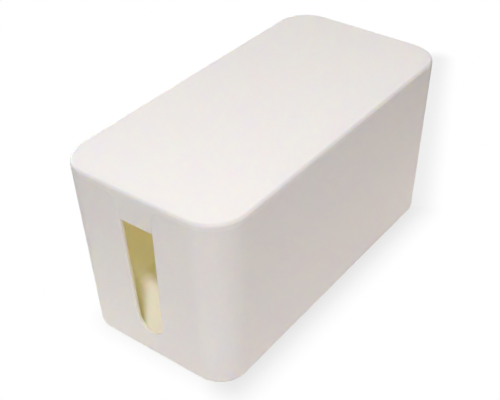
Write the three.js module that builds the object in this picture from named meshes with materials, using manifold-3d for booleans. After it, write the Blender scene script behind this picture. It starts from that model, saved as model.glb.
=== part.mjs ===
// A lidded cable box: a tapered, round-cornered shell with a cord slot in each end wall, a lid that
// lifts off and closes the top of both slots with a hanging tab, and four rubber feet.
// Millimetres, +Z up. The origin is on the floor under the middle of the box, +X runs along its length.
import * as THREE from 'three';
import { mergeVertices } from 'three/addons/utils/BufferGeometryUtils.js';
import Module from 'manifold-3d';

const wasm = await Module();
wasm.setup();

// Outer size, taken at the top edge, with the feet included in the height.
const LENGTH = 235;
const WIDTH = 116;
const HEIGHT = 120;
const CORNER_RADIUS = 22.5;
const SIDE_LEAN = 4.2; // how far each side comes in from the top to the bottom of the shell
const CORNER_STEPS = 12;

// Body shell.
const WALL = 2.2;
const FLOOR = 2.2;
const BASE_Z = 1.6; // underside of the shell, held off the floor by the feet
const BASE_EDGE_RADIUS = 3;
const INNER_EDGE_RADIUS = 4;
const EDGE_STEPS = 5;

// Lid: a plate with a low side all round, whose lower edge meets the rim of the shell.
const PLATE_THICKNESS = 2.4;
const LID_SIDE_HEIGHT = 3.6;
const LID_EDGE_RADIUS = 2.2;
const LID_Z = HEIGHT - LID_SIDE_HEIGHT; // lower edge of the lid's side
const SEAM_GAP = 0.3; // between the lid and the rim of the shell
const RIM_Z = LID_Z - SEAM_GAP;
const LOCATING_RIM_DEPTH = 6;
const LOCATING_RIM_THICKNESS = 1.6;
const LOCATING_RIM_GAP = 0.3;
const DISH_RADIUS = 2.6; // shallow moulding mark in the middle of the lid
const DISH_DEPTH = 0.3;
const DISH_STEPS = 4;

// Cord slot, the same in both end walls, a little wider at the top, with a flared mouth at the rim.
const SLOT_LOW_RADIUS = 9.2;
const SLOT_BOTTOM_Z = 19.1;
const SLOT_SIDE_ANGLE = THREE.MathUtils.degToRad(1.9);
const SLOT_MOUTH_RADIUS = 8;
const CURVE_SEGMENTS = 16;

// Tab that hangs from the lid into the open top of the slot, flush with the end wall.
const TAB_BOTTOM_Z = 99.8;
const TAB_SIDE_GAP = 0.4;
const TAB_THICKNESS = 2.6;
const TAB_CORNER_RADIUS = 1;

// Rubber feet, let into shallow round pockets in the underside.
const FOOT_RADIUS = 6;
const FOOT_EDGE_RADIUS = 0.5;
const FOOT_FROM_SIDE = 22;
const FOOT_POCKET_DEPTH = 0.6;
const FOOT_POCKET_GAP = 0.3;
const FOOT_EDGE_STEPS = 3;
const ROUND_SIDES = 32; // flats round a foot, its pocket or the moulding mark

const OVERRUN = 5; // how far a cutting shape runs past what it cuts
const MERGE_DISTANCE = 1e-4; // corners closer than this are one corner
const QUARTER_TURN = Math.PI / 2;

const whitePlastic = { color: 0xf1ede8, roughness: 0.45, metalness: 0 };
const greyRubber = { color: 0xb9b6b0, roughness: 0.85, metalness: 0 };

// How far the leaning sides stand inside the top outline at height z.
function leanAt(z) {
  return (SIDE_LEAN * (HEIGHT - z)) / (HEIGHT - BASE_Z);
}

// The round-cornered outline of the box, moved inwards by inset.
function outline(inset) {
  const x = LENGTH / 2 - CORNER_RADIUS;
  const y = WIDTH / 2 - CORNER_RADIUS;
  const radius = CORNER_RADIUS - inset;
  const points = [];
  [[x, y], [-x, y], [-x, -y], [x, -y]].forEach(([cx, cy], corner) => {
    for (let i = 0; i <= CORNER_STEPS; i += 1) {
      const angle = (corner + i / CORNER_STEPS) * QUARTER_TURN;
      points.push([cx + radius * Math.cos(angle), cy + radius * Math.sin(angle)]);
    }
  });
  return points;
}

// A closed body through the box outline at each level, where a level is { z, inset }.
function loft(levels) {
  const rings = levels.map(({ z, inset }) => outline(inset).map(([x, y]) => [x, y, z]));
  const size = rings[0].length;
  const positions = rings.flat(2);
  const triangles = [];
  for (let level = 0; level < rings.length - 1; level += 1) {
    for (let i = 0; i < size; i += 1) {
      const low = level * size + i;
      const lowNext = level * size + ((i + 1) % size);
      triangles.push(low, lowNext, lowNext + size, low, lowNext + size, low + size);
    }
  }
  const bottomMiddle = rings.length * size;
  const topMiddle = bottomMiddle + 1;
  const topRing = (rings.length - 1) * size;
  positions.push(0, 0, levels[0].z, 0, 0, levels[levels.length - 1].z);
  for (let i = 0; i < size; i += 1) {
    const next = (i + 1) % size;
    triangles.push(bottomMiddle, next, i);
    triangles.push(topMiddle, topRing + i, topRing + next);
  }
  const geometry = new THREE.BufferGeometry();
  geometry.setAttribute('position', new THREE.Float32BufferAttribute(positions, 3));
  geometry.setIndex(triangles);
  return geometry;
}

// Levels of a side that follows the lean at a constant depth behind the outer face.
function straightSide(fromZ, toZ, depth) {
  return [fromZ, toZ].map((z) => ({ z, inset: leanAt(z) + depth }));
}

// Levels of a rounded lower edge that starts at height z.
function roundLowerEdge(z, radius, depth) {
  return Array.from({ length: EDGE_STEPS + 1 }, (_, i) => {
    const angle = (i / EDGE_STEPS) * QUARTER_TURN;
    const height = z + radius * (1 - Math.cos(angle));
    return { z: height, inset: leanAt(height) + depth + radius * (1 - Math.sin(angle)) };
  });
}

// Levels of a rounded upper edge that ends at height z.
function roundUpperEdge(z, radius) {
  return Array.from({ length: EDGE_STEPS + 1 }, (_, i) => {
    const angle = (i / EDGE_STEPS) * QUARTER_TURN;
    const height = z - radius * (1 - Math.sin(angle));
    return { z: height, inset: leanAt(height) + radius * (1 - Math.cos(angle)) };
  });
}

function toSolid(geometry) {
  const bare = geometry.clone();
  bare.deleteAttribute('normal');
  bare.deleteAttribute('uv');
  const merged = mergeVertices(bare, MERGE_DISTANCE);
  const mesh = new wasm.Mesh({
    numProp: 3,
    vertProperties: merged.attributes.position.array,
    triVerts: Uint32Array.from(merged.index.array),
  });
  return new wasm.Manifold(mesh);
}

function toGeometry(solid) {
  const mesh = solid.getMesh();
  const geometry = new THREE.BufferGeometry();
  geometry.setAttribute('position', new THREE.BufferAttribute(mesh.vertProperties, mesh.numProp));
  geometry.setIndex(new THREE.BufferAttribute(mesh.triVerts, 1));
  geometry.computeVertexNormals();
  return geometry;
}

function cylinderAt(radius, height, x, y, z) {
  const geometry = new THREE.CylinderGeometry(radius, radius, height, ROUND_SIDES);
  geometry.rotateX(QUARTER_TURN);
  geometry.translate(x, y, z + height / 2);
  return geometry;
}

// Half of the slot's width at height z.
function slotHalfWidth(z) {
  const middleZ = SLOT_BOTTOM_Z + SLOT_LOW_RADIUS;
  return SLOT_LOW_RADIUS / Math.cos(SLOT_SIDE_ANGLE) + (z - middleZ) * Math.tan(SLOT_SIDE_ANGLE);
}

// An end-wall outline, drawn as (across, up), pushed through the box from end to end.
function throughBothEnds(shape) {
  const depth = LENGTH + 2 * OVERRUN;
  const geometry = new THREE.ExtrudeGeometry(shape, {
    depth,
    bevelEnabled: false,
    curveSegments: CURVE_SEGMENTS,
  });
  geometry.translate(0, 0, -depth / 2);
  const across = new THREE.Vector3(0, 1, 0);
  const up = new THREE.Vector3(0, 0, 1);
  const along = new THREE.Vector3(1, 0, 0);
  geometry.applyMatrix4(new THREE.Matrix4().makeBasis(across, up, along));
  return geometry;
}

// Traces both flared sides of a slot, kept clear of the slot's own sides by gap, from top right to low left.
function traceMouth(shape, topZ, gap) {
  const flareZ = RIM_Z - SLOT_MOUTH_RADIUS;
  const flareY = slotHalfWidth(flareZ) + SLOT_MOUTH_RADIUS;
  const radius = SLOT_MOUTH_RADIUS + gap;
  shape.absarc(flareY, flareZ, radius, Math.PI, QUARTER_TURN, true);
  shape.lineTo(flareY, topZ);
  shape.lineTo(-flareY, topZ);
  shape.absarc(-flareY, flareZ, radius, QUARTER_TURN, 0, true);
}

function slotCutter() {
  const shape = new THREE.Shape();
  traceMouth(shape, HEIGHT + OVERRUN, 0);
  shape.absarc(
    0,
    SLOT_BOTTOM_Z + SLOT_LOW_RADIUS,
    SLOT_LOW_RADIUS,
    Math.PI + SLOT_SIDE_ANGLE,
    2 * Math.PI - SLOT_SIDE_ANGLE,
    false,
  );
  shape.closePath();
  return throughBothEnds(shape);
}

// The outline of the tabs, with the two lower corners rounded.
function tabOutline() {
  const cornerY = slotHalfWidth(TAB_BOTTOM_Z) - TAB_SIDE_GAP - TAB_CORNER_RADIUS;
  const cornerZ = TAB_BOTTOM_Z + TAB_CORNER_RADIUS;
  const shape = new THREE.Shape();
  traceMouth(shape, HEIGHT + OVERRUN, TAB_SIDE_GAP);
  shape.absarc(-cornerY, cornerZ, TAB_CORNER_RADIUS, Math.PI, 1.5 * Math.PI, false);
  shape.absarc(cornerY, cornerZ, TAB_CORNER_RADIUS, 1.5 * Math.PI, 2 * Math.PI, false);
  shape.closePath();
  return throughBothEnds(shape);
}

const feet = [
  { name: 'foot_front_left', x: -1, y: -1 },
  { name: 'foot_front_right', x: 1, y: -1 },
  { name: 'foot_rear_left', x: -1, y: 1 },
  { name: 'foot_rear_right', x: 1, y: 1 },
].map(({ name, x, y }) => ({
  name,
  x: x * (LENGTH / 2 - FOOT_FROM_SIDE),
  y: y * (WIDTH / 2 - FOOT_FROM_SIDE),
}));

function bodyShell() {
  const aboveRimZ = RIM_Z + OVERRUN;
  const outside = toSolid(loft([
    ...roundLowerEdge(BASE_Z, BASE_EDGE_RADIUS, 0),
    { z: RIM_Z, inset: leanAt(RIM_Z) },
  ]));
  const inside = toSolid(loft([
    ...roundLowerEdge(BASE_Z + FLOOR, INNER_EDGE_RADIUS, WALL),
    { z: aboveRimZ, inset: leanAt(aboveRimZ) + WALL },
  ]));
  let shell = outside.subtract(inside).subtract(toSolid(slotCutter()));
  for (const foot of feet) {
    const pocketRadius = FOOT_RADIUS + FOOT_POCKET_GAP;
    const height = OVERRUN + FOOT_POCKET_DEPTH;
    shell = shell.subtract(toSolid(cylinderAt(pocketRadius, height, foot.x, foot.y, BASE_Z - OVERRUN)));
  }
  return toGeometry(shell);
}

// The shallow round dish in the middle of the lid's top.
function dish() {
  const curveRadius = (DISH_RADIUS ** 2 + DISH_DEPTH ** 2) / (2 * DISH_DEPTH);
  const edgeAngle = Math.asin(DISH_RADIUS / curveRadius);
  const profile = new THREE.Path();
  const curveZ = HEIGHT - DISH_DEPTH + curveRadius;
  profile.absarc(0, curveZ, curveRadius, -QUARTER_TURN, edgeAngle - QUARTER_TURN, false);
  profile.lineTo(DISH_RADIUS, HEIGHT + OVERRUN);
  profile.lineTo(0, HEIGHT + OVERRUN);
  const geometry = new THREE.LatheGeometry(profile.getPoints(DISH_STEPS), ROUND_SIDES);
  geometry.rotateX(QUARTER_TURN);
  return geometry;
}

// The lid is cut from one block that follows the leaning sides of the box. Under its plate a locating rim
// drops inside the shell and keeps the lid in place.
function lid() {
  const belowTabZ = TAB_BOTTOM_Z - OVERRUN;
  const rimLowZ = LID_Z - LOCATING_RIM_DEPTH;
  const rimDepth = WALL + LOCATING_RIM_GAP;
  const plateLowZ = HEIGHT - PLATE_THICKNESS;
  const block = toSolid(loft([
    { z: belowTabZ, inset: leanAt(belowTabZ) },
    ...roundUpperEdge(HEIGHT, LID_EDGE_RADIUS),
  ]));
  const plateSpace = new THREE.BoxGeometry(LENGTH + OVERRUN, WIDTH + OVERRUN, 2 * LID_SIDE_HEIGHT);
  plateSpace.translate(0, 0, LID_Z + LID_SIDE_HEIGHT);
  const behindTabs = toSolid(loft(straightSide(belowTabZ - OVERRUN, LID_Z, TAB_THICKNESS)));
  const rim = toSolid(loft(straightSide(rimLowZ, LID_Z + LID_SIDE_HEIGHT / 2, rimDepth)));
  const hollowDepth = rimDepth + LOCATING_RIM_THICKNESS;
  const hollow = toSolid(loft(straightSide(belowTabZ - OVERRUN, plateLowZ, hollowDepth)));
  const solid = block
    .intersect(toSolid(plateSpace).add(toSolid(tabOutline())))
    .subtract(behindTabs)
    .add(rim)
    .subtract(hollow)
    .subtract(toSolid(dish()));
  return toGeometry(solid);
}

function foot() {
  const height = BASE_Z + FOOT_POCKET_DEPTH - FOOT_POCKET_GAP;
  const profile = new THREE.Path();
  profile.moveTo(0, 0);
  profile.lineTo(FOOT_RADIUS - FOOT_EDGE_RADIUS, 0);
  profile.absarc(FOOT_RADIUS - FOOT_EDGE_RADIUS, FOOT_EDGE_RADIUS, FOOT_EDGE_RADIUS, -QUARTER_TURN, 0, false);
  profile.lineTo(FOOT_RADIUS, height);
  profile.lineTo(0, height);
  const geometry = new THREE.LatheGeometry(profile.getPoints(FOOT_EDGE_STEPS), ROUND_SIDES);
  geometry.rotateX(QUARTER_TURN);
  return geometry;
}

function piece(name, geometry, look) {
  const mesh = new THREE.Mesh(geometry, new THREE.MeshStandardMaterial(look));
  mesh.name = name;
  return mesh;
}

const cableBox = new THREE.Group();
cableBox.add(piece('body_shell', bodyShell(), whitePlastic));
cableBox.add(piece('lid', lid(), whitePlastic));
for (const { name, x, y } of feet) {
  const mesh = piece(name, foot(), greyRubber);
  mesh.position.set(x, y, 0);
  cableBox.add(mesh);
}

export default cableBox;
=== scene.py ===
"""Looks of the lidded cable box: finer meshes for its shell, lid and feet, their materials, and a plain
white studio. Everything is in metres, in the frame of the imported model: +X along the box, +Z up."""

import math

import bmesh
import bpy
from mathutils import Matrix, Vector


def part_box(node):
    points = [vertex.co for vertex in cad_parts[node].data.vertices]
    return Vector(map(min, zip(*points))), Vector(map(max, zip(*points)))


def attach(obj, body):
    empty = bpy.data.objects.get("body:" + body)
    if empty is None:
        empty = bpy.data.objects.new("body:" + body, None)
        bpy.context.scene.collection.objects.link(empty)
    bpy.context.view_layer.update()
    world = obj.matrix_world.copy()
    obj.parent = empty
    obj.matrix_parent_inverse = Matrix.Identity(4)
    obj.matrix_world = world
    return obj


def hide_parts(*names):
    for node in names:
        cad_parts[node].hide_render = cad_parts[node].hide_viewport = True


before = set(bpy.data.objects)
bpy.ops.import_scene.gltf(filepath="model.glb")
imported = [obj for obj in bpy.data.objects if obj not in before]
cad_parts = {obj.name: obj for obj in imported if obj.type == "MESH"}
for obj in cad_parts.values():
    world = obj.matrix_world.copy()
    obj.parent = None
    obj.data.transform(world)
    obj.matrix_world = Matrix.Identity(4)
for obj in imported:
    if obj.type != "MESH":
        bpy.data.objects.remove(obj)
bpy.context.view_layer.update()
MM = 0.001

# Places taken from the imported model.
SHELL_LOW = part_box("body_shell")[0]
LID_LOW, LID_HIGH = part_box("lid")
FEET = [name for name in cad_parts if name.startswith("foot_")]
TOP_Z = LID_HIGH.z
BASE_Z = SHELL_LOW.z
TAB_BOTTOM_Z = LID_LOW.z

# Outline of the box at its top edge, and how the sides lean in below it.
LENGTH = 235 * MM
WIDTH = 116 * MM
CORNER_RADIUS = 22.5 * MM
SIDE_LEAN = 4.2 * MM

# Shell.
WALL = 2.2 * MM
FLOOR = 2.2 * MM
BASE_EDGE_RADIUS = 3 * MM
INNER_EDGE_RADIUS = 4 * MM
FOOT_POCKET_DEPTH = 0.6 * MM
FOOT_POCKET_GAP = 0.3 * MM

# Lid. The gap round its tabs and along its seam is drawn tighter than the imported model's, and its side tips
# inwards by its draft.
LID_SIDE_HEIGHT = 3.6 * MM
LID_Z = TOP_Z - LID_SIDE_HEIGHT
PLATE_THICKNESS = 2.4 * MM
LID_EDGE_RADIUS = 2 * MM
LID_SIDE_DRAFT = math.radians(5)
LID_GAP = 0.06 * MM
RIM_Z = LID_Z - LID_GAP
LOCATING_RIM_DEPTH = 6 * MM
LOCATING_RIM_THICKNESS = 1.6 * MM
LOCATING_RIM_GAP = 0.3 * MM
TAB_THICKNESS = 2.6 * MM
TAB_CORNER_RADIUS = 1 * MM
DISH_RADIUS = 2.6 * MM
DISH_DEPTH = 0.3 * MM

# Slot.
SLOT_LOW_RADIUS = 9.2 * MM
SLOT_BOTTOM_Z = 19.1 * MM
SLOT_MIDDLE_Z = SLOT_BOTTOM_Z + SLOT_LOW_RADIUS
SLOT_SIDE_ANGLE = math.radians(1.9)
SLOT_MOUTH_RADIUS = 8 * MM

# Foot. The profile of the dish in its sole is in shares of the foot's radius and of the dish's depth.
FOOT_EDGE_RADIUS = 0.6 * MM
FOOT_TOP_CHAMFER = 0.2 * MM
SOLE_DEPTH = 0.25 * MM
SOLE_PROFILE = ((0.45, 1), (0.68, 0.8), (0.78, 0))

# How finely round shapes are divided.
CORNER_STEPS = 24
EDGE_STEPS = 8
ROUND_STEPS = 48
MOUTH_STEPS = 16
SLOT_STEPS = 32
TAB_STEPS = 6
DISH_STEPS = 8
FOOT_EDGE_STEPS = 5

# Softened edges. Cutting shapes reach past what they cut by the overrun.
CRISP_EDGE = 0.35 * MM
LID_CRISP_EDGE = 0.1 * MM
BEVEL_SEGMENTS = 3
SHARP_ANGLE = math.radians(32)
SMOOTH_ANGLE = math.radians(60)
FOOT_SMOOTH_ANGLE = math.radians(50)
LARGE_FACE_WEIGHT = 100
OVERRUN = 5 * MM

# Materials. Noise scales are roughly in features per metre; noise lies mostly between its low and high.
NOISE_LOW = 0.3
NOISE_HIGH = 0.7
DEEP_AT = 0.35
PALE_AT = 0.65
PLASTIC_PALE = (0.97, 0.95, 0.935)
PLASTIC_DEEP = (0.96, 0.94, 0.925)
PLASTIC_CLOUD_SCALE = 9
PLASTIC_SHEEN_SCALE = 60
PLASTIC_ROUGHNESS = (0.42, 0.5)
PLASTIC_WAVE_SCALE = 14
PLASTIC_WAVE_HEIGHT = 0.25 * MM
PLASTIC_GRAIN_SCALE = 2600
PLASTIC_GRAIN_HEIGHT = 0.012 * MM
PLASTIC_IOR = 1.49
SCATTER_RADII = (1.0, 0.75, 0.42)
SCATTER_SCALE = 1.2 * MM
SEEPING_COLOUR = (0.98, 0.97, 0.56)
SEEPING_SHARE = 0.207
RUBBER_PALE = (0.38, 0.37, 0.35)
RUBBER_DEEP = (0.30, 0.29, 0.27)
RUBBER_CLOUD_SCALE = 400
RUBBER_SHEEN_SCALE = 700
RUBBER_ROUGHNESS = (0.7, 0.88)
RUBBER_GRAIN_SCALE = 3000
RUBBER_GRAIN_HEIGHT = 0.03 * MM
RUBBER_IOR = 1.45

# Camera. It looks along +X at a yaw of 0 and turns towards +Y, with its angles in radians. The lens and the
# sensor are in millimetres, and the shift is in widths of the picture.
CAMERA_PLACE = Vector((-378.99, -281.7, 396.14)) * MM
CAMERA_YAW = 0.614
CAMERA_PITCH = -0.6486
CAMERA_ROLL = 0.0036
SENSOR_WIDTH = 36
LENS = 65.63232
LENS_SHIFT_X = -0.0721
LENS_SHIFT_Y = 0.02092

# Key light. Angles in degrees; it stands at its azimuth from -X towards -Y.
KEY_AZIMUTH = 33
KEY_ELEVATION = 53
KEY_DISTANCE = 1.15
KEY_SIZE = 0.085
KEY_POWER = 9.35
KEY_COLOUR = (0.93, 0.91, 1)

# Light cards: the azimuth of each one's middle, from +X towards +Y, how far it reaches to either side, in
# degrees, the sines of its lowest and highest elevation, and its colour, which carries its strength.
CARDS = (
    (-30, 30, -0.2, 0.4, (1.85, 1.65, 1.85)),
    (30, 30, 0.4, 0.8, (2.5, 2.4, 2.35)),
    (76, 18, -0.2, 0.4, (7.2, 7.4, 8)),
    (172, 30, -0.2, 0.4, (0.86, 0.83, 0.89)),
)
CARD_BLUR = 6
CARD_FADE = 0.03
BACKDROP_GREY = 0.8

# Floor. The colours that light meets run from its middle out to its reach. The camera sees it white, with a
# painted soft shadow along the shade lines and a painted darker contact shade where the floor is close under
# the box.
FLOOR_HALF_SIZE = 6
FLOOR_MIDDLE = (0, -0.03, 0)
FLOOR_REACH = 0.5
FLOOR_COLOURS = (
    (0, (0.97, 0.95, 0.93)),
    (0.35, (0.96, 0.94, 0.92)),
    (0.7, (0.93, 0.91, 0.89)),
    (1, (0, 0, 0)),
)
# Painted shadow: to the camera the floor is drawn darker, by up to SHADE_DEPTH, within SHADE_WIDTH of these
# lines.
SHADE_LINES = (
    ((-0.104, -0.052, 0), (0.105, -0.054, 0)),
    ((0.112, -0.05, 0), (0.315, 0.04, 0)),
)
SHADE_WIDTH = 0.0225
SHADE_DEPTH = 0.145
CONTACT_SHADE_REACH = 0.01
CONTACT_SHADE_DEPTH = 0.11

# Light that seeps into the box bounces about inside it many times.
MOST_BOUNCES = 32
SEEPING_BOUNCES = 24


# ---------------------------------------------------------------- shapes


def lean_at(z):
    """How far the leaning sides stand inside the top outline at height z."""
    return SIDE_LEAN * (TOP_Z - z) / (TOP_Z - BASE_Z)


def outline(inset):
    """The round-cornered outline of the box, moved inwards by inset, as (x, y) points."""
    x = LENGTH / 2 - CORNER_RADIUS
    y = WIDTH / 2 - CORNER_RADIUS
    radius = CORNER_RADIUS - inset
    points = []
    for corner, (cx, cy) in enumerate([(x, y), (-x, y), (-x, -y), (x, -y)]):
        for i in range(CORNER_STEPS + 1):
            angle = (corner + i / CORNER_STEPS) * math.pi / 2
            points.append((cx + radius * math.cos(angle), cy + radius * math.sin(angle)))
    return points


def arc(cx, cy, radius, start, end, steps):
    """Points of an arc from the angle start to the angle end, both in degrees."""
    found = []
    for i in range(steps + 1):
        angle = math.radians(start + (end - start) * i / steps)
        found.append((cx + radius * math.cos(angle), cy + radius * math.sin(angle)))
    return found


def circle(x, y, radius):
    return arc(x, y, radius, 0, 360, ROUND_STEPS)[:-1]


def make_object(name, data):
    made = bpy.data.objects.new(name, data)
    bpy.context.scene.collection.objects.link(made)
    return made


def stack(name, rings):
    """A closed body through rings of points, one after the other."""
    bm = bmesh.new()
    rows = [[bm.verts.new(p) for p in ring] for ring in rings]
    size = len(rows[0])
    for low, high in zip(rows, rows[1:]):
        for i in range(size):
            j = (i + 1) % size
            bm.faces.new((low[i], low[j], high[j], high[i]))
    bm.faces.new(reversed(rows[0]))
    bm.faces.new(rows[-1])
    bmesh.ops.recalc_face_normals(bm, faces=bm.faces)
    mesh = bpy.data.meshes.new(name)
    bm.to_mesh(mesh)
    bm.free()
    return make_object(name, mesh)


def loft(name, levels):
    """A closed body that follows the box outline at each level, a (height, inset) pair."""
    return stack(name, [[(x, y, z) for x, y in outline(inset)] for z, inset in levels])


def turned(name, x, y, profile):
    """A closed body round an upright axis, through the (radius, height) points of its profile."""
    return stack(name, [[(px, py, z) for px, py in circle(x, y, radius)] for radius, z in profile])


def prism_along_length(name, points, overrun=OVERRUN):
    """An end-wall outline of (across, up) points, pushed through the box from end to end."""
    reach = LENGTH / 2 + overrun
    return stack(name, [[(x, y, z) for y, z in points] for x in (-reach, reach)])


def straight_side(low, high, depth):
    """Levels of a side that follows the lean at a constant depth behind the outer face."""
    return [(z, lean_at(z) + depth) for z in (low, high)]


def round_lower_edge(z, radius, depth):
    """Levels of a rounded lower edge that starts at height z."""
    levels = []
    for i in range(EDGE_STEPS + 1):
        angle = i / EDGE_STEPS * math.pi / 2
        height = z + radius * (1 - math.cos(angle))
        levels.append((height, lean_at(height) + depth + radius * (1 - math.sin(angle))))
    return levels


def round_upper_edge(z, radius, draft, foot):
    """Levels of a rounded upper edge that ends at height z. The side below it tips inwards by the angle
    draft, starting from a distance foot under the top."""
    tipped = (foot - radius * (1 - math.sin(draft))) * math.tan(draft) - radius * (1 - math.cos(draft))
    levels = []
    for i in range(EDGE_STEPS + 1):
        angle = draft + i / EDGE_STEPS * (math.pi / 2 - draft)
        height = z - radius * (1 - math.sin(angle))
        levels.append((height, lean_at(height) + tipped + radius * (1 - math.cos(angle))))
    return levels


def apply_modifiers(piece):
    bpy.context.view_layer.update()
    evaluated = piece.evaluated_get(bpy.context.evaluated_depsgraph_get())
    mesh = bpy.data.meshes.new_from_object(evaluated)
    old = piece.data
    piece.modifiers.clear()
    piece.data = mesh
    mesh.name = piece.name
    bpy.data.meshes.remove(old)


def combine(target, tool, operation):
    """Applies DIFFERENCE, UNION or INTERSECT of tool to target, and removes tool."""
    modifier = target.modifiers.new("boolean", "BOOLEAN")
    modifier.operation = operation
    modifier.solver = "EXACT"
    modifier.object = tool
    apply_modifiers(target)
    bpy.data.objects.remove(tool)


def soften(piece, width):
    """Rounds the sharp edges a little and shades the rest smooth, with flat faces kept flat."""
    bevel = piece.modifiers.new("bevel", "BEVEL")
    bevel.width = width
    bevel.segments = BEVEL_SEGMENTS
    bevel.limit_method = "ANGLE"
    bevel.angle_limit = SHARP_ANGLE
    bevel.use_clamp_overlap = False
    bevel.miter_outer = "MITER_ARC"
    apply_modifiers(piece)
    piece.data.shade_smooth()
    piece.data.set_sharp_from_angle(angle=SMOOTH_ANGLE)
    weighted = piece.modifiers.new("weighted_normals", "WEIGHTED_NORMAL")
    weighted.keep_sharp = True
    weighted.weight = LARGE_FACE_WEIGHT
    apply_modifiers(piece)


def slot_half_width(z):
    return SLOT_LOW_RADIUS / math.cos(SLOT_SIDE_ANGLE) + (z - SLOT_MIDDLE_Z) * math.tan(SLOT_SIDE_ANGLE)


def mouth_points(gap):
    """The flared sides of the slot's mouth, kept clear of the slot's own sides by gap, and its open top,
    from the right side round to the left."""
    flare_z = RIM_Z - SLOT_MOUTH_RADIUS
    flare_y = slot_half_width(flare_z) + SLOT_MOUTH_RADIUS
    radius = SLOT_MOUTH_RADIUS + gap
    above = TOP_Z + OVERRUN
    right = arc(flare_y, flare_z, radius, 180, 90, MOUTH_STEPS)
    left = arc(-flare_y, flare_z, radius, 90, 0, MOUTH_STEPS)
    return right + [(flare_y, above), (-flare_y, above)] + left


def slot_points():
    lean = math.degrees(SLOT_SIDE_ANGLE)
    return mouth_points(0) + arc(0, SLOT_MIDDLE_Z, SLOT_LOW_RADIUS, 180 + lean, 360 - lean, SLOT_STEPS)


def tab_points():
    corner_y = slot_half_width(TAB_BOTTOM_Z) - LID_GAP - TAB_CORNER_RADIUS
    corner_z = TAB_BOTTOM_Z + TAB_CORNER_RADIUS
    left = arc(-corner_y, corner_z, TAB_CORNER_RADIUS, 180, 270, TAB_STEPS)
    right = arc(corner_y, corner_z, TAB_CORNER_RADIUS, 270, 360, TAB_STEPS)
    return mouth_points(LID_GAP) + left + right


# ---------------------------------------------------------------- pieces


def foot_plan(name):
    """The middle and the radius of a foot's round plan."""
    low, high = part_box(name)
    return (low + high) / 2, (high.x - low.x) / 2


def build_shell():
    rim = (RIM_Z, lean_at(RIM_Z))
    shell = loft("box_shell", round_lower_edge(BASE_Z, BASE_EDGE_RADIUS, 0) + [rim])
    above_rim = RIM_Z + OVERRUN
    inner_edge = round_lower_edge(BASE_Z + FLOOR, INNER_EDGE_RADIUS, WALL)
    combine(shell, loft("inside", inner_edge + [(above_rim, lean_at(above_rim) + WALL)]), "DIFFERENCE")
    combine(shell, prism_along_length("slots", slot_points()), "DIFFERENCE")
    for name in FEET:
        middle, foot_radius = foot_plan(name)
        radius = foot_radius + FOOT_POCKET_GAP
        profile = [(radius, BASE_Z - OVERRUN), (radius, BASE_Z + FOOT_POCKET_DEPTH)]
        combine(shell, turned("pocket", middle.x, middle.y, profile), "DIFFERENCE")
    soften(shell, CRISP_EDGE)
    return shell


def build_dish():
    """The shallow round moulding mark in the middle of the lid's top."""
    curve_radius = (DISH_RADIUS ** 2 + DISH_DEPTH ** 2) / (2 * DISH_DEPTH)
    edge_angle = math.degrees(math.asin(DISH_RADIUS / curve_radius))
    middle_z = TOP_Z - DISH_DEPTH + curve_radius
    first = edge_angle / DISH_STEPS - 90
    profile = arc(0, middle_z, curve_radius, first, edge_angle - 90, DISH_STEPS - 1)
    return turned("dish", 0, 0, profile + [(DISH_RADIUS, TOP_Z + OVERRUN)])


def build_lid():
    below_tab = TAB_BOTTOM_Z - OVERRUN
    top_edge = round_upper_edge(TOP_Z, LID_EDGE_RADIUS, LID_SIDE_DRAFT, LID_SIDE_HEIGHT)
    lid = loft("box_lid", straight_side(below_tab, LID_Z, 0) + top_edge)

    # What is left below the side's lower edge is the tabs.
    side = WIDTH / 2 + OVERRUN
    above = TOP_Z + OVERRUN
    block = [(-side, LID_Z), (side, LID_Z), (side, above), (-side, above)]
    keep = prism_along_length("keep", block, 2 * OVERRUN)
    combine(keep, prism_along_length("tabs", tab_points()), "UNION")
    combine(lid, keep, "INTERSECT")
    low = below_tab - OVERRUN
    combine(lid, loft("behind_tabs", straight_side(low, LID_Z, TAB_THICKNESS)), "DIFFERENCE")

    # The locating rim runs up into the lid's side, and the hollow behind it ends under the plate.
    depth = WALL + LOCATING_RIM_GAP
    rim = loft("rim", straight_side(LID_Z - LOCATING_RIM_DEPTH, LID_Z + LID_SIDE_HEIGHT / 2, depth))
    combine(lid, rim, "UNION")
    hollow_depth = depth + LOCATING_RIM_THICKNESS
    combine(lid, loft("hollow", straight_side(low, TOP_Z - PLATE_THICKNESS, hollow_depth)), "DIFFERENCE")
    combine(lid, build_dish(), "DIFFERENCE")
    soften(lid, LID_CRISP_EDGE)
    return lid


def build_foot(name):
    """A soft round pad with a rolled lower edge and a shallow dish in its sole."""
    low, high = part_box(name)
    middle, radius = foot_plan(name)
    profile = [(radius * across, low.z + SOLE_DEPTH * up) for across, up in SOLE_PROFILE]
    rolled = arc(radius - FOOT_EDGE_RADIUS, FOOT_EDGE_RADIUS, FOOT_EDGE_RADIUS, -90, 0, FOOT_EDGE_STEPS)
    profile += [(x, low.z + z) for x, z in rolled]
    profile += [(radius, high.z - FOOT_TOP_CHAMFER), (radius - FOOT_TOP_CHAMFER, high.z)]
    foot = turned("rubber_" + name, middle.x, middle.y, profile)
    foot.data.shade_smooth()
    foot.data.set_sharp_from_angle(angle=FOOT_SMOOTH_ANGLE)
    return foot


# ---------------------------------------------------------------- materials


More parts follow.
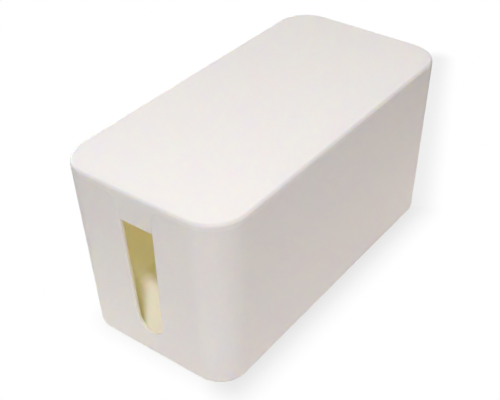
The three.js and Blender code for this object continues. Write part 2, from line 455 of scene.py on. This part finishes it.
class Nodes:
    """A short way to add and link the nodes of a material or a world."""

    def __init__(self, owner, place):
        """Place names the texture coordinate that the nodes start from."""
        owner.use_nodes = True
        self.tree = owner.node_tree
        self.place = self.add("ShaderNodeTexCoord").outputs[place]

    def add(self, kind, **values):
        node = self.tree.nodes.new(kind)
        for key, value in values.items():
            setattr(node, key, value)
        return node

    def link(self, out, into):
        self.tree.links.new(out, into)

    def scalar(self, operation, first, second):
        node = self.add("ShaderNodeMath", operation=operation)
        self.link(first, node.inputs[0])
        self.link(second, node.inputs[1])
        return node.outputs[0]

    def vector(self, operation, first, second):
        """A vector operation of two sockets, or of a socket and a fixed vector."""
        node = self.add("ShaderNodeVectorMath", operation=operation)
        self.link(first, node.inputs[0])
        if isinstance(second, bpy.types.NodeSocket):
            self.link(second, node.inputs[1])
        else:
            node.inputs[1].default_value = second
        return node.outputs["Value" if operation in ("DOT_PRODUCT", "DISTANCE") else "Vector"]

    def scaled(self, vector, factor):
        """A fixed vector times a factor that comes from a socket."""
        node = self.add("ShaderNodeVectorMath", operation="SCALE")
        node.inputs[0].default_value = vector
        self.link(factor, node.inputs["Scale"])
        return node.outputs["Vector"]

    def spread(self, value, start, end, low, high, smooth=False):
        """Goes from low to high as the value goes from start to end."""
        kind = "SMOOTHSTEP" if smooth else "LINEAR"
        node = self.add("ShaderNodeMapRange", interpolation_type=kind)
        for name, number in (("From Min", start), ("From Max", end), ("To Min", low), ("To Max", high)):
            node.inputs[name].default_value = number
        self.link(value, node.inputs["Value"])
        return node.outputs["Result"]

    def noise(self, scale, detail):
        node = self.add("ShaderNodeTexNoise")
        node.inputs["Scale"].default_value = scale
        node.inputs["Detail"].default_value = detail
        self.link(self.place, node.inputs["Vector"])
        return node.outputs["Fac"]

    def ramp(self, value, stops):
        """A colour ramp through stops, each a (position, colour) pair."""
        node = self.add("ShaderNodeValToRGB")
        elements = node.color_ramp.elements
        while len(elements) < len(stops):
            elements.new(0.5)
        for element, (position, colour) in zip(elements, stops):
            element.position = position
            element.color = (*colour, 1)
        self.link(value, node.inputs["Fac"])
        return node.outputs["Color"]

    def bump(self, height, distance, strength, under=None):
        node = self.add("ShaderNodeBump")
        node.inputs["Distance"].default_value = distance
        node.inputs["Strength"].default_value = strength
        self.link(height, node.inputs["Height"])
        if under is not None:
            self.link(under, node.inputs["Normal"])
        return node.outputs["Normal"]

    def for_camera(self, others, camera, output):
        """Shows the camera one shader and every other ray another."""
        mix = self.add("ShaderNodeMixShader")
        self.link(self.add("ShaderNodeLightPath").outputs["Is Camera Ray"], mix.inputs["Fac"])
        self.link(others, mix.inputs[1])
        self.link(camera, mix.inputs[2])
        self.link(mix.outputs[0], self.tree.nodes[output].inputs["Surface"])


def moulded_plastic(name):
    """White moulded plastic: a fine satin grain over a slow waviness. A little light seeps right through the
    walls and comes out yellowish inside."""
    material = bpy.data.materials.new(name)
    n = Nodes(material, "Object")
    principled = n.tree.nodes["Principled BSDF"]
    shader = principled.inputs
    clouds = n.noise(PLASTIC_CLOUD_SCALE, detail=3)
    n.link(n.ramp(clouds, [(DEEP_AT, PLASTIC_DEEP), (PALE_AT, PLASTIC_PALE)]), shader["Base Color"])
    sheen = n.noise(PLASTIC_SHEEN_SCALE, detail=4)
    n.link(n.spread(sheen, NOISE_LOW, NOISE_HIGH, *PLASTIC_ROUGHNESS), shader["Roughness"])
    waves = n.bump(n.noise(PLASTIC_WAVE_SCALE, detail=1), PLASTIC_WAVE_HEIGHT, strength=0.35)
    grain = n.bump(n.noise(PLASTIC_GRAIN_SCALE, detail=2), PLASTIC_GRAIN_HEIGHT, strength=0.6, under=waves)
    n.link(grain, shader["Normal"])
    shader["IOR"].default_value = PLASTIC_IOR
    shader["Subsurface Weight"].default_value = 1
    shader["Subsurface Radius"].default_value = SCATTER_RADII
    shader["Subsurface Scale"].default_value = SCATTER_SCALE
    seeping = n.add("ShaderNodeBsdfTranslucent")
    seeping.inputs["Color"].default_value = (*SEEPING_COLOUR, 1)
    mix = n.add("ShaderNodeMixShader")
    mix.inputs["Fac"].default_value = SEEPING_SHARE
    n.link(principled.outputs["BSDF"], mix.inputs[1])
    n.link(seeping.outputs["BSDF"], mix.inputs[2])
    n.link(mix.outputs[0], n.tree.nodes["Material Output"].inputs["Surface"])
    return material


def rubber(name):
    """Grey rubber with a fine matt grain."""
    material = bpy.data.materials.new(name)
    n = Nodes(material, "Object")
    shader = n.tree.nodes["Principled BSDF"].inputs
    clouds = n.noise(RUBBER_CLOUD_SCALE, detail=3)
    n.link(n.ramp(clouds, [(DEEP_AT, RUBBER_DEEP), (PALE_AT, RUBBER_PALE)]), shader["Base Color"])
    sheen = n.noise(RUBBER_SHEEN_SCALE, detail=3)
    n.link(n.spread(sheen, NOISE_LOW, NOISE_HIGH, *RUBBER_ROUGHNESS), shader["Roughness"])
    grain = n.bump(n.noise(RUBBER_GRAIN_SCALE, detail=3), RUBBER_GRAIN_HEIGHT, strength=0.7)
    n.link(grain, shader["Normal"])
    shader["IOR"].default_value = RUBBER_IOR
    return material


def distance_to_line(n, start, end):
    """How far each point of the floor lies from the line between two of its points."""
    run = Vector(end) - Vector(start)
    away = n.vector("SUBTRACT", n.place, start)
    share = n.add("ShaderNodeClamp")
    n.link(n.vector("DOT_PRODUCT", away, run / run.length_squared), share.inputs["Value"])
    return n.vector("DISTANCE", away, n.scaled(run, share.outputs["Result"]))


def floor_shade(n):
    """How bright the camera sees the floor: white, with painted shadow along its lines and painted shade near
    the box.
    """
    nearer = n.scalar("MINIMUM", *[distance_to_line(n, start, end) for start, end in SHADE_LINES])
    shade = n.spread(nearer, 0, SHADE_WIDTH, 1 - SHADE_DEPTH, 1, smooth=True)
    # Painted contact shade: the camera sees the floor darker where ambient occlusion finds the box close
    # above it.
    contact = n.add("ShaderNodeAmbientOcclusion")
    contact.inputs["Distance"].default_value = CONTACT_SHADE_REACH
    hollow = n.spread(contact.outputs["AO"], 0, 1, 1 - CONTACT_SHADE_DEPTH, 1)
    return n.scalar("MULTIPLY", shade, hollow)


def floor_paper(name):
    """White paper. The camera sees its painted shade; it throws light back only from close round the box."""
    material = bpy.data.materials.new(name)
    n = Nodes(material, "Object")
    n.tree.nodes.remove(n.tree.nodes["Principled BSDF"])
    bright = n.add("ShaderNodeEmission")
    n.link(floor_shade(n), bright.inputs["Strength"])
    from_middle = n.vector("DISTANCE", n.place, FLOOR_MIDDLE)
    dull = n.add("ShaderNodeBsdfDiffuse")
    fade = n.spread(from_middle, 0, FLOOR_REACH, 0, 1, smooth=True)
    n.link(n.ramp(fade, FLOOR_COLOURS), dull.inputs["Color"])
    n.for_camera(dull.outputs[0], bright.outputs[0], "Material Output")
    return material


# ---------------------------------------------------------------- studio


def make_camera():
    data = bpy.data.cameras.new("camera")
    camera = make_object("camera", data)
    level = math.cos(CAMERA_PITCH)
    forward = Vector((level * math.cos(CAMERA_YAW), level * math.sin(CAMERA_YAW), math.sin(CAMERA_PITCH)))
    right = forward.cross(Vector((0, 0, 1))).normalized()
    up = right.cross(forward)
    turn = Matrix((right, up, -forward)).transposed()
    roll = Matrix.Rotation(CAMERA_ROLL, 4, "Z")
    camera.matrix_world = Matrix.Translation(CAMERA_PLACE) @ turn.to_4x4() @ roll
    data.sensor_width = SENSOR_WIDTH
    data.lens = LENS
    data.shift_x = LENS_SHIFT_X
    data.shift_y = LENS_SHIFT_Y
    bpy.context.scene.camera = camera


def make_key_light():
    data = bpy.data.lights.new("key_softbox", "AREA")
    data.shape = "SQUARE"
    data.size = KEY_SIZE
    data.energy = KEY_POWER
    data.color = KEY_COLOUR
    light = make_object("key_softbox", data)
    turn = math.radians(KEY_AZIMUTH)
    rise = math.radians(KEY_ELEVATION)
    direction = Vector((-math.cos(rise) * math.cos(turn), -math.cos(rise) * math.sin(turn), math.sin(rise)))
    centre = Vector((0, 0, TOP_Z / 2))
    light.location = centre + direction * KEY_DISTANCE
    light.rotation_mode = "QUATERNION"
    light.rotation_quaternion = direction.to_track_quat("Z", "Y")


def light_card(n, level, height, azimuth, reach, low, high, colour):
    """The light of one card, by the level direction and the height that a ray goes to."""
    turn = math.radians(azimuth)
    toward = n.vector("DOT_PRODUCT", level, (math.cos(turn), math.sin(turn), 0))
    outer = math.cos(math.radians(reach + CARD_BLUR))
    inner = math.cos(math.radians(reach - CARD_BLUR))
    across = n.spread(toward, outer, inner, 0, 1, smooth=True)
    above = n.spread(height, low - CARD_FADE, low + CARD_FADE, 0, 1, smooth=True)
    below = n.spread(height, high - CARD_FADE, high + CARD_FADE, 1, 0, smooth=True)
    return n.scaled(colour, n.scalar("MULTIPLY", across, n.scalar("MULTIPLY", above, below)))


def make_world():
    """Pale grey all round for the camera. For other rays, soft cards of light stand round the box."""
    world = bpy.data.worlds.new("studio")
    n = Nodes(world, "Generated")
    part = n.add("ShaderNodeSeparateXYZ")
    n.link(n.place, part.inputs[0])
    height = part.outputs["Z"]
    level = n.add("ShaderNodeVectorMath", operation="NORMALIZE")
    n.link(n.vector("MULTIPLY", n.place, (1, 1, 0)), level.inputs[0])
    total, *others = [light_card(n, level.outputs["Vector"], height, *card) for card in CARDS]
    for card in others:
        total = n.vector("ADD", total, card)
    lit = n.tree.nodes["Background"]
    n.link(total, lit.inputs["Color"])
    backdrop = n.add("ShaderNodeBackground")
    backdrop.inputs["Color"].default_value = (BACKDROP_GREY, BACKDROP_GREY, BACKDROP_GREY, 1)
    for background in (lit, backdrop):
        background.inputs["Strength"].default_value = 1
    n.for_camera(lit.outputs[0], backdrop.outputs[0], "World Output")
    bpy.context.scene.world = world


def make_floor():
    reach = FLOOR_HALF_SIZE
    corners = [(-reach, -reach, 0), (reach, -reach, 0), (reach, reach, 0), (-reach, reach, 0)]
    mesh = bpy.data.meshes.new("floor")
    mesh.from_pydata(corners, [], [(0, 1, 2, 3)])
    floor = make_object("floor", mesh)
    mesh.materials.append(floor_paper("white_floor"))


def place(piece, material, body, node, slot):
    piece.data.materials.clear()
    piece.data.materials.append(material)
    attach(piece, body)
    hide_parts(node)


make_camera()
make_key_light()
make_world()
make_floor()
bpy.context.scene.view_settings.view_transform = "Standard"
bpy.context.scene.cycles.max_bounces = MOST_BOUNCES
bpy.context.scene.cycles.diffuse_bounces = SEEPING_BOUNCES
bpy.context.scene.cycles.transmission_bounces = SEEPING_BOUNCES

box_white = moulded_plastic("white_box_plastic")
lid_white = moulded_plastic("white_lid_plastic")
place(build_shell(), box_white, "box", "body_shell", "box_plastic")
place(build_lid(), lid_white, "lid", "lid", "lid_plastic")
foot_rubber = rubber("grey_rubber")
for foot_name in FEET:
    place(build_foot(foot_name), foot_rubber, "box", foot_name, "foot_rubber")
